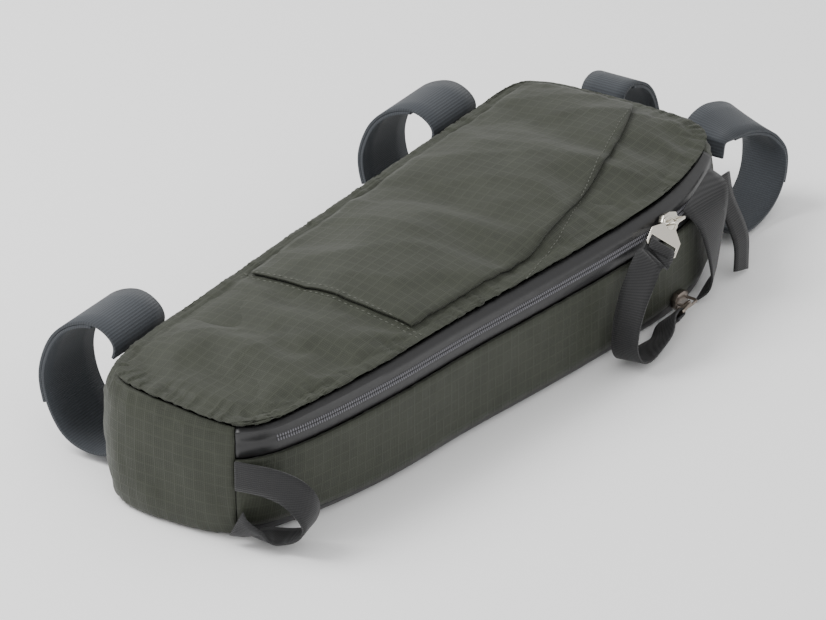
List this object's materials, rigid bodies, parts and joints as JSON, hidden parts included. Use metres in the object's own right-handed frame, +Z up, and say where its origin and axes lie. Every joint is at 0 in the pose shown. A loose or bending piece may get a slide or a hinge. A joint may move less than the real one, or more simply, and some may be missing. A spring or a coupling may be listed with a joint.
{
  "type": "top tube bag",
  "caption": "Wedge-shaped ripstop bag for a bicycle's top tube, lying on its side, with zips, webbing loops and hook-and-loop strap rings.",
  "frame": {"origin": "middle of the part's box, at the height of the flat face that it lies on", "axes": "+X from the narrow end to the wide end, -Y the zip side, +Y the side for the bicycle's top tube, +Z up from the surface it lies on"},
  "size_m": [0.4482, 0.2086, 0.0753],
  "materials": {
    "ripstop_cloth": "ripstop weave, matte",
    "laminated_zip": "smooth laminated tape",
    "grosgrain_webbing": "fine ribbed webbing",
    "hook_and_loop_tape": "ribbed tape with a short pile",
    "nickel": "bright",
    "dark_nickel": "dark, bright"
  },
  "bodies": {
    "root": {"upper_panel": "ripstop_cloth", "pocket_flap": "ripstop_cloth", "lower_panel": "ripstop_cloth", "tube_gusset": "ripstop_cloth", "narrow_end_panel": "ripstop_cloth", "wide_end_panel": "ripstop_cloth", "zip_gusset": "ripstop_cloth", "upper_zip": "laminated_zip", "lower_zip": "laminated_zip", "pull_strap": "grosgrain_webbing", "narrow_end_loop": "grosgrain_webbing", "corner_loop": "grosgrain_webbing", "strap_tail": "grosgrain_webbing", "tube_strap_near_loop": "hook_and_loop_tape", "tube_strap_near_hook": "hook_and_loop_tape", "tube_strap_far_loop": "hook_and_loop_tape", "tube_strap_far_hook": "hook_and_loop_tape", "end_strap_left_loop": "hook_and_loop_tape", "end_strap_left_hook": "hook_and_loop_tape", "end_strap_right_loop": "hook_and_loop_tape", "end_strap_right_hook": "hook_and_loop_tape", "upper_slider": "nickel", "upper_pull_tab": "nickel", "lower_slider": "dark_nickel", "lower_pull_tab": "dark_nickel"}
  },
  "joints": []
}
